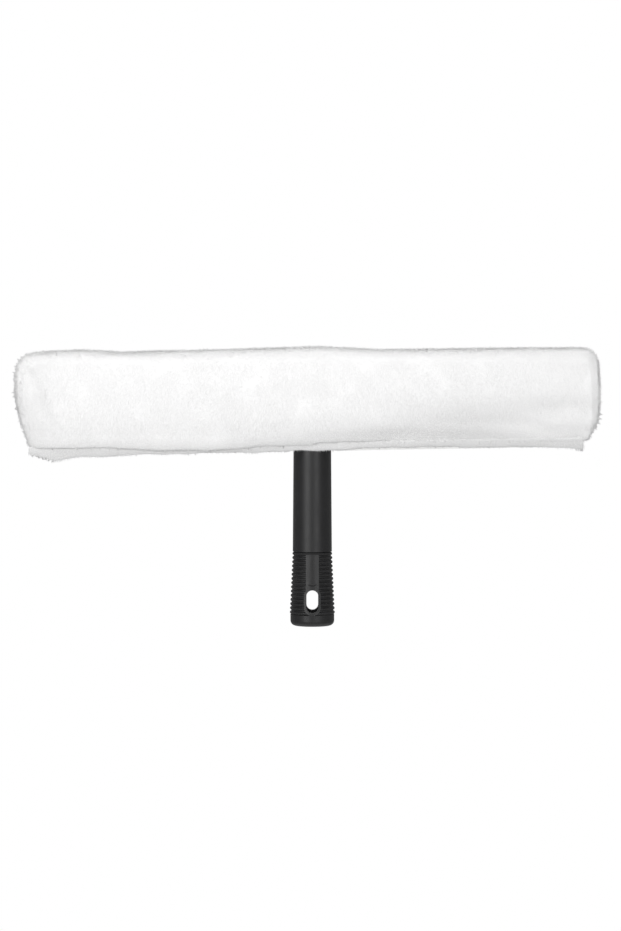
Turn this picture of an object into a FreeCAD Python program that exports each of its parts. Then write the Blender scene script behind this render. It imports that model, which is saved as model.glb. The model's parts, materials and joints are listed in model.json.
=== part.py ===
import FreeCAD, Part
import math
import os
import Sketcher
from FreeCAD import Placement, Rotation, Vector

# Window scrubber: a moulded T-bar in a fleece sleeve. Millimetres, Z up, front faces -Y.
# The origin is the centre of the pole socket's mouth, and Z runs up the handle to the bar.

SIZES = (
    # handle, from the socket mouth up
    ("collar_radius", 16.9),
    ("collar_rounding", 4.0),
    ("ring_count", 15),
    ("ring_first_height", 10.3),
    ("ring_pitch", 3.23),
    ("ring_low_radius", 16.4),
    ("ring_high_radius", 14.35),
    ("ring_rise", 1.0),
    ("tube_low_radius", 15.1),
    ("tube_top_radius", 14.45),
    ("panel_width", 9.9),
    ("panel_bottom_height", 27.0),
    ("panel_top_height", 55.0),
    ("panel_rise", 0.08),
    ("notch_height", 31.5),
    ("notch_bend_radius", 5.5),
    ("notch_radius", 0.45),
    ("notch_turn", 80.0),
    ("slot_width", 9.1),
    ("slot_length", 17.5),
    ("slot_bottom_height", 10.6),
    ("slot_rim_width", 1.9),
    ("socket_radius", 12.6),
    ("socket_depth", 55.0),
    ("bore_top_radius", 10.2),
    ("bore_floor", 20.0),
    ("fork_radius", 13.3),
    ("fork_length", 42.0),
    ("fork_clearance", 0.3),
    ("fork_slot_clearance", 0.1),
    # crossbar
    ("bar_length", 414.0),
    ("bar_height", 58.0),
    ("bar_depth", 25.0),
    ("bar_bottom_height", 148.0),
    ("bar_corner_radius", 15.0),
    ("bar_edge_radius", 2.0),
    ("rim_thickness", 3.2),
    ("web_thickness", 3.0),
    ("hub_thickness", 8.0),
    ("rib_thickness", 2.2),
    ("end_bay_least", 8.0),
    ("flow_hole_radius", 4.5),
    # rivets
    ("rivet_radius", 2.5),
    ("rivet_head_radius", 4.4),
    ("rivet_head_rise", 1.5),
    ("rivet_seat", 11.2),
    ("rivet_low_offset", 12.0),
    ("rivet_spacing", 20.0),
    ("rivet_clearance", 0.05),
    ("rivet_head_clearance", 0.3),
    # fleece sleeve
    ("fleece_thickness", 8.2),
    ("pocket_clearance", 0.55),
    ("pocket_end_gap", 0.9),
    ("ceiling_gap", 0.3),
    ("top_wall_left", 5.9),
    ("top_wall_right", 9.0),
    ("top_roll", 2.1),
    ("end_wall_left", 23.2),
    ("end_wall_right", 15.4),
    # crease under the front panel, where the hem and the flaps hang
    ("crease_drop", 8.0),
    ("crease_tilt", 1.0),
    ("crease_tuck", 4.0),
    ("hem_clearance", 0.5),
    ("hem_thickness", 4.6),
    ("hem_height", 7.2),
    ("hem_left_extra", 4.0),
    ("hem_right_short", 2.0),
    ("hem_rounding", 1.8),
    ("flap_clearance", 1.0),
    ("flap_end_gap", 3.45),
    ("flap_thickness", 6.0),
    ("flap_gap", 0.2),
    ("flap_seam", 3.6),
    ("flap_rounding", 1.5),
    ("tape_thickness", 1.2),
    ("tape_gap", 0.1),
    ("tape_height", 5.0),
    ("tape_drop", 0.8),
    ("tape_margin", 8.0),
    # length that every cutter runs past the face it cuts
    ("overrun", 1.0),
)

# up one side of the sleeve, from its foot: shares of the half depth and of the height; every second
# place is the middle of an arc, so the side is crowned and its upper edge is round
SIDE_SHARES = ((0.8, 0), (1, 0.42), (0.91, 0.8), (0.75, 0.945), (0.42, 1))
# along the pocket: shares of its half length, of the top edge's roll, and of the fleece's thickness by
# which the foot of the front is drawn in
ROLL_SHARES = (
    (-0.96, 0, 0), (-0.86, 0.35, 0), (-0.71, -0.45, 0), (-0.42, 0, 0), (-0.23, 0.4, 0), (0.03, 1, 0.04),
    (0.25, -0.25, 0.14), (0.47, -0.25, 0.3), (0.77, 0, 0.3), (0.98, -0.15, 0.06),
)
# out through each end wall: shares of the wall, of the height for the foot and the top, and of the depth
LEFT_END_SHARES = (
    (0.31, -0.06, 0.985, 0.97), (0.61, 0.13, 0.955, 0.9), (0.83, 0.33, 0.91, 0.77),
    (0.95, 0.46, 0.83, 0.55), (1, 0.56, 0.74, 0.3),
)
RIGHT_END_SHARES = (
    (0.33, -0.06, 0.985, 0.96), (0.66, 0.06, 0.95, 0.86), (0.86, 0.17, 0.885, 0.69),
    (0.97, 0.31, 0.77, 0.46), (1, 0.42, 0.66, 0.25),
)
# two places nearer than this are the same
NEAR = 1e-6
# one grip ring: places along the ring's pitch and out to its crest
BEAD_SHARES = ((-0.4, 0), (-0.23, 0.76), (0, 1), (0.23, 0.76), (0.4, 0))

doc = FreeCAD.newDocument("window_scrubber")
sheet = doc.addObject("Spreadsheet::Sheet", "Sizes")
for row, (name, value) in enumerate(SIZES, 1):
    sheet.set(f"A{row}", name)
    sheet.set(f"B{row}", str(value))
    sheet.setAlias(f"B{row}", name)
doc.recompute()
NAMES = {name for name, _ in SIZES}


def size(name):
    return float(sheet.get(name))


def formula(text):
    """Put the sheet's name before each size in a formula."""
    words = []
    for word in text.split():
        bare = word.strip("()-")
        words.append(word.replace(bare, f"Sizes.{bare}") if bare in NAMES else word)
    return " ".join(words)


def value_of(text):
    return float(sheet.evalExpression(formula(text)))


def bind(item, **formulas):
    """Bind properties to the sheet; a double underscore in a name stands for a dot."""
    for prop, text in formulas.items():
        item.setExpression(prop.replace("__", "."), formula(text))


def new_body(label):
    body = doc.addObject("PartDesign::Body", label)
    body.Label = label
    return body


def origin_part(body, role):
    return next(o for o in body.Origin.OriginFeatures if o.Role == role)


def new_sketch(body, plane, offset=None):
    sketch = body.newObject("Sketcher::SketchObject", "outline")
    sketch.AttachmentSupport = [(origin_part(body, plane), "")]
    sketch.MapMode = "FlatFace"
    if offset:
        sketch.setExpression("AttachmentOffset.Base.z", formula(offset))
    return sketch


def held(index, vertex, place):
    """Rules that hold one point of a sketch at the place that two formulas give."""
    rules = []
    for axis, kind in enumerate(("DistanceX", "DistanceY")):
        at = value_of(place[axis])
        if at == 0:
            rules.append((Sketcher.Constraint("PointOnObject", index, vertex, axis - 2), None))
        else:
            rule = Sketcher.Constraint(kind, -1, 1, index, vertex, at)
            rules.append((rule, formula(place[axis])))
    return rules


def add_rules(sketch, rules):
    numbers = sketch.addConstraint([rule for rule, _ in rules])
    for number, (_, text) in zip(numbers, rules):
        if text:
            sketch.setExpression(f"Constraints[{number}]", text)


def closed_outline(sketch, places):
    """Draw a closed outline of straight lines through places given as formulas."""
    first = sketch.GeometryCount
    spots = [Vector(value_of(x), value_of(y), 0) for x, y in places]
    count = len(places)
    sketch.addGeometry(
        [Part.LineSegment(spots[i], spots[(i + 1) % count]) for i in range(count)], False)
    rules = []
    for i, place in enumerate(places):
        after = first + (i + 1) % count
        rules.append((Sketcher.Constraint("Coincident", first + i, 2, after, 1), None))
        rules += held(first + i, 1, place)
    add_rules(sketch, rules)


def rectangle(sketch, left, right, low, high):
    closed_outline(sketch, ((left, low), (right, low), (right, high), (left, high)))


def circle(sketch, across, up, radius):
    spot = Vector(value_of(across), value_of(up), 0)
    index = sketch.addGeometry(Part.Circle(spot, Vector(0, 0, 1), value_of(radius)), False)
    rule = Sketcher.Constraint("Radius", index, value_of(radius))
    add_rules(sketch, [(rule, formula(radius)), *held(index, 3, (across, up))])


def pad(body, sketch, length, both_ways=True):
    feature = body.newObject("PartDesign::Pad", "pad")
    feature.Profile = sketch
    feature.SideType = "Symmetric" if both_ways else "One side"
    bind(feature, Length=length)
    doc.recompute()
    return feature


def pocket(body, sketch, length, both_ways=True, turned=False):
    feature = body.newObject("PartDesign::Pocket", "pocket")
    feature.Profile = sketch
    feature.SideType = "Symmetric" if both_ways else "One side"
    feature.Reversed = turned
    bind(feature, Length=length)
    doc.recompute()
    return feature


def fillet(body, base, radius, wanted):
    """Round the edges of a feature that the wanted test picks."""
    names = [f"Edge{i}" for i, e in enumerate(base.Shape.Edges, 1) if wanted(e)]
    feature = body.newObject("PartDesign::Fillet", "fillet")
    feature.Base = (base, names)
    bind(feature, Radius=radius)
    doc.recompute()
    return feature


def row_along_x(body, original, pitch, count):
    pattern = body.newObject("PartDesign::LinearPattern", "row")
    pattern.Originals = [original]
    pattern.Direction = (origin_part(body, "X_Axis"), [""])
    pattern.Mode = "Spacing"
    bind(pattern, Offset=pitch, Occurrences=count)
    body.Tip = pattern
    doc.recompute()
    return pattern


def runs_along(edge, axis):
    """True for a straight edge that runs along one axis: 0, 1 or 2 for X, Y or Z."""
    if not isinstance(edge.Curve, Part.Line):
        return False
    return abs(abs(edge.Curve.Direction[axis]) - 1) < NEAR


def primitive(kind, label, **formulas):
    item = doc.addObject(kind, label)
    bind(item, **formulas)
    return item


def joined(label, items):
    whole = doc.addObject("Part::MultiFuse", label)
    whole.Shapes = items
    return whole


def made_of(kind, label, base, tool):
    result = doc.addObject(kind, label)
    result.Base = base
    result.Tool = tool
    return result


# heights and depths that several pieces share
BAR_TOP = "bar_bottom_height + bar_height"
BAR_MIDDLE = "bar_bottom_height + bar_height / 2"
RIVET_LOW = "bar_bottom_height + rivet_low_offset"
FORK_WIDE = "fork_radius + fork_clearance"
RIB_PITCH = "2 * ( fork_radius + fork_clearance ) + rib_thickness"
HEM_INNER = "tube_top_radius + hem_clearance"
RIB_COUNT = f"2 * floor( ( bar_length / 2 - rim_thickness - end_bay_least ) / ( {RIB_PITCH} ) + 1 / 2 )"
CREASE = "bar_bottom_height - crease_drop"
FLAP_START = "tube_top_radius + flap_clearance"
FLAP_LENGTH = f"bar_length / 2 + pocket_end_gap - flap_end_gap - ( {FLAP_START} )"
POCKET_FACE = "max( bar_depth / 2 ; tube_top_radius ) + pocket_clearance"
CREST = "ring_low_radius + ring_rise + panel_rise"
CREST_SLOPE = "( ring_high_radius - ring_low_radius ) / ( ring_pitch * ( ring_count - 1 ) )"


def crossbar():
    """Bar with a rim, a web between two rows of water pockets, ribs and a hub."""
    body = new_body("crossbar")
    outline = new_sketch(body, "XZ_Plane")
    rectangle(outline, "-bar_length / 2", "bar_length / 2", "bar_bottom_height", BAR_TOP)
    block = pad(body, outline, "bar_depth")
    high = f"{BAR_TOP} - rim_thickness"
    low = "bar_bottom_height + rim_thickness"
    end = "bar_length / 2 - rim_thickness"
    for turned in (False, True):
        sign = "-" if turned else ""
        hollow = new_sketch(body, "XZ_Plane", f"{sign}web_thickness / 2")
        rectangle(hollow, f"-( {end} )", end, low, high)
        block = pocket(body, hollow, "bar_depth", both_ways=False, turned=not turned)
        inner = value_of(end)
        block = fillet(
            body, block, "bar_corner_radius - rim_thickness",
            lambda e: runs_along(e, 1) and abs(abs(e.CenterOfMass.x) - inner) < NEAR
            and e.CenterOfMass.y * (1 if turned else -1) > 0,
        )
    reach = value_of("bar_length / 2")
    fillet(
        body, block, "bar_corner_radius",
        lambda e: runs_along(e, 1) and abs(abs(e.CenterOfMass.x) - reach) < NEAR,
    )
    span = f"( {RIB_PITCH} ) * ( {RIB_COUNT} - 1 ) / 2"
    rib = new_sketch(body, "XZ_Plane")
    half = "rib_thickness / 2"
    rectangle(rib, f"-( {span} ) - {half}", f"-( {span} ) + {half}", low, high)
    row_along_x(body, pad(body, rib, "bar_depth"), RIB_PITCH, RIB_COUNT)
    hole = new_sketch(body, "XZ_Plane")
    circle(hole, f"-( {span} ) + ( {RIB_PITCH} ) / 2", BAR_MIDDLE, "flow_hole_radius")
    row_along_x(body, pocket(body, hole, "bar_depth"), RIB_PITCH, f"{RIB_COUNT} - 1")
    mouth = new_sketch(body, "XZ_Plane")
    rectangle(mouth, f"-( {FORK_WIDE} )", FORK_WIDE, "bar_bottom_height - overrun", high)
    pocket(body, mouth, "bar_depth + overrun")
    hub = new_sketch(body, "XZ_Plane")
    side = f"{FORK_WIDE} + rib_thickness / 2"
    rectangle(hub, f"-( {side} )", side, "bar_bottom_height", f"{high} + rim_thickness / 2")
    pad(body, hub, "hub_thickness")
    pins = new_sketch(body, "XZ_Plane")
    for up in (RIVET_LOW, f"{RIVET_LOW} + rivet_spacing"):
        circle(pins, "0", up, "rivet_radius + rivet_clearance")
    last = pocket(body, pins, "bar_depth")
    rounded = outer_edges(last.Shape, value_of("bar_depth / 2"), value_of(FORK_WIDE))
    fillet(body, last, "bar_edge_radius", lambda e: any(e.isSame(o) for o in rounded))
    return body


def outer_edges(shape, face, mouth):
    """Edges round the bar's front and back, apart from those in the fork's mouth."""
    edges = []
    for side in shape.Faces:
        if side.BoundBox.YLength < NEAR and abs(abs(side.CenterOfMass.y) - face) < NEAR:
            edges += [e for e in side.OuterWire.Edges if abs(e.CenterOfMass.x) > mouth + NEAR]
    return edges


def slot_shape(label, margin, depth):
    """Upright slot with round ends, as a prism through the grip from front to back."""
    body = new_body(label)
    low = "slot_bottom_height + slot_width / 2"
    high = "slot_bottom_height + slot_length - slot_width / 2"
    wide = f"slot_width / 2 + {margin}" if margin else "slot_width / 2"
    middle = new_sketch(body, "XZ_Plane")
    rectangle(middle, f"-( {wide} )", wide, low, high)
    pad(body, middle, depth)
    for up in (low, high):
        end = new_sketch(body, "XZ_Plane")
        circle(end, "0", up, wide)
        pad(body, end, depth)
    return body


def ring_places():
    """Outline of the rings from the collar up: each bead stands on the grip's taper."""
    places = []
    for i in range(int(size("ring_count"))):
        for along, out in BEAD_SHARES:
            up = f"ring_pitch * ( {i} + {along} )"
            base = f"ring_low_radius + {CREST_SLOPE} * {up}"
            places.append((f"{base} + ring_rise * {out}", f"ring_first_height + {up}"))
    return places


def handle_core():
    """Outside of the handle in one turn: collar, ringed grip, tube and fork."""
    body = new_body("handle_core")
    ring_last = "ring_first_height + ring_pitch * ( ring_count - 1 )"
    outline = new_sketch(body, "XZ_Plane")
    closed_outline(outline, (
        ("0", "0"),
        ("collar_radius", "0"),
        ("collar_radius", "ring_first_height - ring_pitch / 2"),
        *ring_places(),
        ("tube_low_radius", f"{ring_last} + ring_pitch / 2"),
        ("tube_top_radius", "bar_bottom_height"),
        ("fork_radius", "bar_bottom_height"),
        ("fork_radius", "bar_bottom_height + fork_length"),
        ("0", "bar_bottom_height + fork_length"),
    ))
    turn = body.newObject("PartDesign::Revolution", "turn")
    turn.Profile = outline
    turn.ReferenceAxis = (outline, ["V_Axis"])
    doc.recompute()
    fillet(body, turn, "collar_rounding", lambda e: e.BoundBox.ZMax < NEAR and e.Closed)
    return body


def handle_raised():
    """Smooth panel and slot rim, level with the crests of the rings, front and back."""
    cone = primitive(
        "Part::Cone", "crest_cone",
        Radius1=f"{CREST} - {CREST_SLOPE} * ring_first_height",
        Radius2=f"{CREST} + {CREST_SLOPE} * ( panel_top_height - ring_first_height )",
        Height="panel_top_height",
    )
    plate = new_body("panel_plate")
    outline = new_sketch(plate, "XZ_Plane")
    half = "panel_width / 2"
    rectangle(outline, f"-{half}", half, "panel_bottom_height", "panel_top_height")
    pad(plate, outline, "4 * collar_radius")
    rim = slot_shape("slot_rim", "slot_rim_width", "4 * collar_radius")
    return made_of("Part::Common", "raised_parts", cone, joined("raised_outlines", [plate, rim]))


def handle_cutters():
    """Everything that is cut from the handle: bore, slot, fork slot and rivet holes."""
    deep = "2 * collar_radius + overrun"
    socket = primitive(
        "Part::Cylinder", "socket",
        Radius="socket_radius", Height="socket_depth + overrun", Placement__Base__z="-overrun",
    )
    bore = primitive(
        "Part::Cone", "bore",
        Radius1="socket_radius", Radius2="bore_top_radius",
        Height="bar_bottom_height - bore_floor - socket_depth", Placement__Base__z="socket_depth",
    )
    gap = primitive(
        "Part::Box", "fork_gap",
        Length="2 * ( fork_radius + overrun )",
        Width="hub_thickness + 2 * fork_slot_clearance",
        Height="fork_length + overrun",
        Placement__Base__x="-fork_radius - overrun",
        Placement__Base__y="-hub_thickness / 2 - fork_slot_clearance",
        Placement__Base__z="bar_bottom_height",
    )
    tools = [socket, bore, gap, slot_shape("hang_slot", "", f"2 * ( {deep} )")]
    for i in range(2):
        up = f"{RIVET_LOW} + rivet_spacing * {i}"
        tools.append(cylinder_along_y(
            f"rivet_hole_{i}", "rivet_radius + rivet_clearance", f"-( {deep} )", deep, up))
        for name, start, stop in (("front", f"-( {deep} )", "-rivet_seat"), ("back", "rivet_seat", deep)):
            tools.append(cylinder_along_y(
                f"head_seat_{name}_{i}", "rivet_head_radius + rivet_head_clearance", start, stop, up))
    return joined("handle_cutters", [*tools, panel_notch()])


def panel_notch():
    """Shallow curved groove across the foot of the front panel, above the slot."""
    notch = primitive(
        "Part::Torus", "panel_notch",
        Radius1="notch_bend_radius", Radius2="notch_radius", Angle3="notch_turn",
    )
    spin = Rotation(Vector(0, 0, 1), -90 - size("notch_turn") / 2)
    notch.Placement = Placement(Vector(0, 0, 0), Rotation(Vector(1, 0, 0), 90) * spin)
    bind(
        notch,
        Placement__Base__y=f"-( {CREST} + {CREST_SLOPE} * ( notch_height - ring_first_height ) )",
        Placement__Base__z="notch_height + notch_bend_radius",
    )
    return notch


def cylinder_along_y(label, radius, start, stop, up):
    """Round cutter that runs from one depth to another at a given height."""
    item = primitive("Part::Cylinder", label, Radius=radius, Height=f"( {stop} ) - ( {start} )")
    item.Placement = Placement(Vector(0, 0, 0), Rotation(Vector(1, 0, 0), -90))
    bind(item, Placement__Base__y=start, Placement__Base__z=up)
    return item


def handle():
    solid = made_of("Part::Fuse", "handle_solid", handle_core(), handle_raised())
    result = made_of("Part::Cut", "handle", solid, handle_cutters())
    result.Label = "handle"
    return result


def rivet(label, up):
    """Pin along Y with a low domed head at each end, turned from half its outline."""
    body = new_body(label)
    sketch = new_sketch(body, "YZ_Plane", None)
    edge = "rivet_head_rise / 2"
    closed_outline(sketch, (
        ("-( rivet_seat + rivet_head_rise )", "0"),
        ("-( rivet_seat + rivet_head_rise )", "rivet_head_radius / 2"),
        (f"-( rivet_seat + {edge} )", "rivet_head_radius"),
        ("-rivet_seat", "rivet_head_radius"),
        ("-rivet_seat", "rivet_radius"),
        ("rivet_seat", "rivet_radius"),
        ("rivet_seat", "rivet_head_radius"),
        (f"rivet_seat + {edge}", "rivet_head_radius"),
        ("rivet_seat + rivet_head_rise", "rivet_head_radius / 2"),
        ("rivet_seat + rivet_head_rise", "0"),
    ))
    turn = body.newObject("PartDesign::Revolution", "turn")
    turn.Profile = sketch
    turn.ReferenceAxis = (sketch, ["H_Axis"])
    bind(body, Placement__Base__z=up)
    doc.recompute()
    return body


def bar_rivets():
    group = doc.addObject("Part::Compound", "bar_rivets")
    group.Links = [rivet("rivet_low", RIVET_LOW), rivet("rivet_high", f"{RIVET_LOW} + rivet_spacing")]
    group.Label = "bar_rivets"
    return group


def crease_z(x):
    return value_of(CREASE) + x * math.tan(math.radians(size("crease_tilt")))


def sleeve_section(x, foot, top, half_depth, drawn_in):
    """Closed wire across the sleeve at one place, with the foot of its front drawn in."""
    def side(sign, pulled):
        return [
            Vector(x, sign * (half_depth * deep - pulled * (1 - up)), foot + (top - foot) * up)
            for deep, up in SIDE_SHARES
        ]
    front, back = side(-1, drawn_in), side(1, 0)[::-1]
    edges = []
    for line in (front, back):
        edges += [Part.Arc(*line[:3]).toShape(), Part.Arc(*line[2:]).toShape()]
    edges.insert(2, Part.LineSegment(front[-1], back[0]).toShape())
    edges.append(Part.LineSegment(back[-1], front[0]).toShape())
    return Part.Wire(edges)


def sleeve_stations(half_length, half_depth, ceiling):
    """The sleeve's sections from left to right: the left end, the pocket's length, the right end."""
    rise = (size("top_wall_right") - size("top_wall_left")) / 2
    level = ceiling + (size("top_wall_left") + size("top_wall_right")) / 2
    rows = []
    for along, roll, drawn in ROLL_SHARES:
        x = along * half_length
        rows.append((
            x, crease_z(x) - size("crease_tuck"), level + rise * along + roll * size("top_roll"),
            half_depth, drawn * size("fleece_thickness"),
        ))
    for sign, wall, shares in (
        (-1, size("end_wall_left"), LEFT_END_SHARES), (1, size("end_wall_right"), RIGHT_END_SHARES),
    ):
        base = crease_z(sign * half_length)
        height = level + sign * rise - base
        for out, foot, top, deep in shares:
            x = sign * (half_length + out * wall)
            rows.append((x, base + foot * height, base + top * height, half_depth * deep, 0))
    return [sleeve_section(*row) for row in sorted(rows)]


def fleece_cover():
    """Padded sleeve: crowned front and back, a rolling top edge and round ends, with a pocket."""
    half_pocket = value_of(POCKET_FACE)
    half_depth = half_pocket + size("fleece_thickness")
    half_length = size("bar_length") / 2 + size("pocket_end_gap")
    ceiling = value_of(BAR_TOP) + size("ceiling_gap")
    shape = Part.makeLoft(sleeve_stations(half_length, half_depth, ceiling), True, True)
    # the pocket and all that lies under the tilted crease are cut away
    low = size("bar_bottom_height") - size("bar_height")
    bag = Part.makeBox(
        2 * half_length, 2 * half_pocket, ceiling - low, Vector(-half_length, -half_pocket, low))
    wide = 4 * half_length
    under = Part.makeBox(
        wide, wide, size("bar_height"), Vector(-wide / 2, -wide / 2, -size("bar_height")))
    under.Placement = crease_place()
    item = doc.addObject("Part::Feature", "fleece_cover")
    item.Shape = shape.cut(bag).cut(under).removeSplitter()
    item.Label = "fleece_cover"
    return item


def crease_place():
    """Frame of the crease: its middle on the handle's axis, X along the tilted fold."""
    tilt = Rotation(Vector(0, -1, 0), size("crease_tilt"))
    return Placement(Vector(0, 0, value_of(CREASE)), tilt)


def band(label, front, back, low, high, start, length, rounding):
    """Straight strip along the crease with its long edges rounded, or left square with no rounding."""
    body = new_body(label)
    sketch = new_sketch(body, "YZ_Plane", start)
    rectangle(sketch, front, back, low, high)
    strip = pad(body, sketch, length, both_ways=False)
    if rounding:
        under = value_of(low)
        fillet(
            body, strip, rounding,
            lambda e: runs_along(e, 0) and abs(e.CenterOfMass.z - under) < NEAR,
        )
    body.Placement = crease_place()
    bind(body, Placement__Base__z=CREASE)
    doc.recompute()
    return body


def front_hem():
    return band(
        "front_hem", f"-( {HEM_INNER} ) - hem_thickness", f"-( {HEM_INNER} )", "-hem_height", "0",
        "-bar_length / 2 - hem_left_extra", "bar_length + hem_left_extra - hem_right_short", "hem_rounding",
    )


def closure(side):
    """Flap, hook tape and loop tape of one side of the handle."""
    name = "left" if side < 0 else "right"
    begin = f"-( {FLAP_START} + {FLAP_LENGTH} )" if side < 0 else FLAP_START
    loop_face = f"-( {HEM_INNER} - tape_thickness )"
    hook_face = f"-( {HEM_INNER} - tape_thickness - tape_gap )"
    flap_face = f"-( {HEM_INNER} - tape_gap - 2 * tape_thickness )"
    pieces = [band(
        f"{name}_flap", flap_face, f"{POCKET_FACE} + flap_seam",
        "-flap_gap - flap_thickness", "-flap_gap", begin, FLAP_LENGTH, "flap_rounding",
    )]
    tape_begin = f"{begin} + tape_margin"
    tape_length = f"{FLAP_LENGTH} - 2 * tape_margin"
    low, high = "-tape_drop - tape_height", "-tape_drop"
    for label, front, back in (
        (f"{name}_loop_tape", f"-( {HEM_INNER} )", loop_face),
        (f"{name}_hook_tape", hook_face, flap_face),
    ):
        pieces.append(band(label, front, back, low, high, tape_begin, tape_length, ""))
    return pieces


parts = [crossbar(), handle(), bar_rivets(), fleece_cover(), front_hem(), *closure(-1), *closure(1)]
doc.recompute()
for item in doc.Objects:
    if any(word in item.State for word in ("Invalid", "Error")):
        raise RuntimeError(f"{item.Label} did not build: {item.State}")
os.makedirs("parts", exist_ok=True)
for item in parts:
    if item.Shape.isNull() or not item.Shape.isValid():
        raise RuntimeError(f"{item.Label} is not a valid shape")
    item.Shape.exportStep(f"parts/{item.Label}.step")
    box = item.Shape.optimalBoundingBox()
    spans = " ".join(f"{a:.1f}..{b:.1f}" for a, b in (
        (box.XMin, box.XMax), (box.YMin, box.YMax), (box.ZMin, box.ZMax)))
    print(f"{item.Label}: {len(item.Shape.Solids)} solids, {item.Shape.Volume / 1000:.1f} cm3, {spans}")
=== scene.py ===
# %% [markdown]
# # A window scrubber with a fleece sleeve
# The real tool is a black plastic T with a thick fleece sleeve pulled over its crossbar. The frame that is
# loaded here is the measured model: its handle, crossbar and rivets already have their true shape and only
# need finishes. Everything soft is made new below, in the room that the frame keeps for it.

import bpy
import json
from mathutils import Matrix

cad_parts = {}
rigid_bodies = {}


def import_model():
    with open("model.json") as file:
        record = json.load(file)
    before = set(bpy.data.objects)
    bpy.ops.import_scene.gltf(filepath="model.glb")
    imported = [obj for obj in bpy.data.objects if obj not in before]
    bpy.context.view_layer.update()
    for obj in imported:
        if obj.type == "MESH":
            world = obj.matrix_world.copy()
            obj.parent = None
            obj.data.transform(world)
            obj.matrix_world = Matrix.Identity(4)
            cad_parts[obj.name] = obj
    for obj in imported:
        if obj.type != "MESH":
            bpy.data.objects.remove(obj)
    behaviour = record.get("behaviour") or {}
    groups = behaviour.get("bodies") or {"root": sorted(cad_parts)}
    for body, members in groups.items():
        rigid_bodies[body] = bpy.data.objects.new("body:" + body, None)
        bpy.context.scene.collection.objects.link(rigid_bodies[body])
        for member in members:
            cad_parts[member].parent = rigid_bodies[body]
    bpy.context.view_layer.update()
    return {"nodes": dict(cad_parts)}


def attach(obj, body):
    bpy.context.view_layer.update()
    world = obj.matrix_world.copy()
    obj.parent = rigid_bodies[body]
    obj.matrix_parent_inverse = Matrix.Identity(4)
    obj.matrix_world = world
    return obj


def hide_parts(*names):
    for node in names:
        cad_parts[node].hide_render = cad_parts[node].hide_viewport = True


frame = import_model()
print("frame pieces:", ", ".join(sorted(frame["nodes"])))

# %% [markdown]
# ## The camera
# The photograph looks straight at the front of the tool, from a little above its middle height. A camera
# could be placed by eye and nudged, but the tool's own size gives it: the picture is 931 pixels high and
# one pixel is 0.772 mm where the tool stands, so the lens follows from the distance.

# %% Camera
import json
import math

import bmesh
import bpy
import numpy as np
from mathutils import Matrix, Vector, noise

scene = bpy.context.scene
scene.view_settings.view_transform = "Standard"
MM = 0.001
PIXELS_HIGH = 931
PIXEL_MM = 0.772
CAMERA_FAR = 1250 * MM
CAMERA_ASIDE = -1.4 * MM
CAMERA_HIGH = 123.3 * MM

picture_high = PIXELS_HIGH * PIXEL_MM * MM
camera_data = bpy.data.cameras.new("photo_camera")
camera_data.sensor_fit = "VERTICAL"
camera_data.sensor_height = 36
camera_data.lens = camera_data.sensor_height * CAMERA_FAR / picture_high
camera = bpy.data.objects.new("photo_camera", camera_data)
camera.location = (CAMERA_ASIDE, -CAMERA_FAR, CAMERA_HIGH)
camera.rotation_euler = (math.radians(90), 0, 0)
scene.collection.objects.link(camera)
scene.camera = camera
print("lens in mm:", round(camera_data.lens, 1))

# %% [markdown]
# ## Node helpers
# A procedural material is a small net of nodes. Writing each node in one line, with its settings and with
# what feeds it, keeps the nets readable: a socket that is given another node's output is linked, and any
# other value is simply set. The kinds that come back in every net get a short name of their own.


# %% Node helpers
def feed(tree, node, feeds):
    """Links or sets a node's input sockets, by name or number."""
    for socket, value in feeds.items():
        if isinstance(value, bpy.types.NodeSocket):
            tree.links.new(value, node.inputs[socket])
        else:
            node.inputs[socket].default_value = value


def add_node(tree, kind, feeds=None, **settings):
    """One node. settings are its own properties, and feeds its input sockets."""
    node = tree.nodes.new(kind)
    for name, value in settings.items():
        setattr(node, name, value)
    feed(tree, node, feeds or {})
    return node


def combine(tree, operation, first, second):
    """Two values made into one, by an operation such as MULTIPLY."""
    return add_node(tree, "ShaderNodeMath", {0: first, 1: second}, operation=operation).outputs[0]


def stretch(tree, value, start, end, low=0.0, high=1.0, **settings):
    """The value, stretched so that start to end becomes low to high."""
    feeds = {"Value": value, "From Min": start, "From Max": end, "To Min": low, "To Max": high}
    return add_node(tree, "ShaderNodeMapRange", feeds, **settings).outputs[0]


def blend(tree, share, first, second):
    """A colour between two. A Mix node takes its colours at sockets 6 and 7 and gives one at 2."""
    feeds = {0: share, 6: first, 7: second}
    return add_node(tree, "ShaderNodeMix", feeds, data_type="RGBA").outputs[2]


def speckle(tree, where, scale, detail=2.0, roughness=0.5):
    """A noise in space. A larger scale is finer, and more detail adds finer noise on top."""
    feeds = {"Vector": where, "Scale": scale, "Detail": detail, "Roughness": roughness}
    return add_node(tree, "ShaderNodeTexNoise", feeds).outputs[0]


def waves(tree, where, scale, axis, distortion, detail=2.0):
    """Even bands across one axis. A Wave node gives its value at socket 1."""
    feeds = {"Vector": where, "Scale": scale, "Distortion": distortion, "Detail": detail}
    return add_node(tree, "ShaderNodeTexWave", feeds, bands_direction=axis).outputs[1]


def relief(tree, height, strength, deep):
    """Small bumps for a shader's normal, up to deep in mm."""
    feeds = {"Height": height, "Strength": strength, "Distance": deep * MM}
    return add_node(tree, "ShaderNodeBump", feeds).outputs[0]


# %% [markdown]
# ## The white room
# The photograph is a product shot on plain white. If lamps burnt the background white, they would burn the
# white fleece too. So the world is white only where the camera looks straight at it. It gives a softer
# light to everything else, and reflections see it grey, as the room behind the camera would be. The floor
# lies well below the tool and fades out at its rim.

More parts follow.
